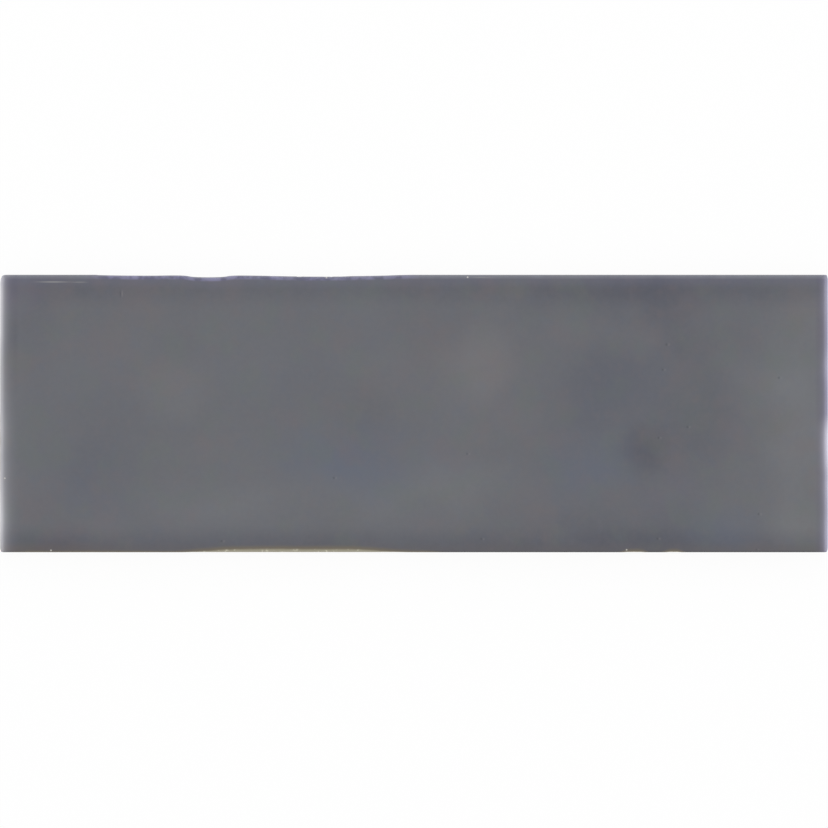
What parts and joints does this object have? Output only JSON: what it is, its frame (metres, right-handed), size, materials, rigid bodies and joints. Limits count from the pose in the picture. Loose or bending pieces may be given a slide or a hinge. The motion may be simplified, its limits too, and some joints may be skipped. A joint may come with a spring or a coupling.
{
  "type": "wall tile",
  "caption": "Long glazed ceramic wall tile in glossy slate grey, with softly rolled edges, an uneven long side and a waffle-keyed back for adhesive.",
  "frame": {"origin": "centre of the tile's back, on the plane of the rib tops", "axes": "+X along the tile's length, +Y across its width towards the uneven long side, +Z out of the glazed face"},
  "size_m": [0.3, 0.1004, 0.008],
  "materials": {
    "glaze": "gloss"
  },
  "bodies": {
    "root": {"tile": "glaze"}
  },
  "joints": []
}
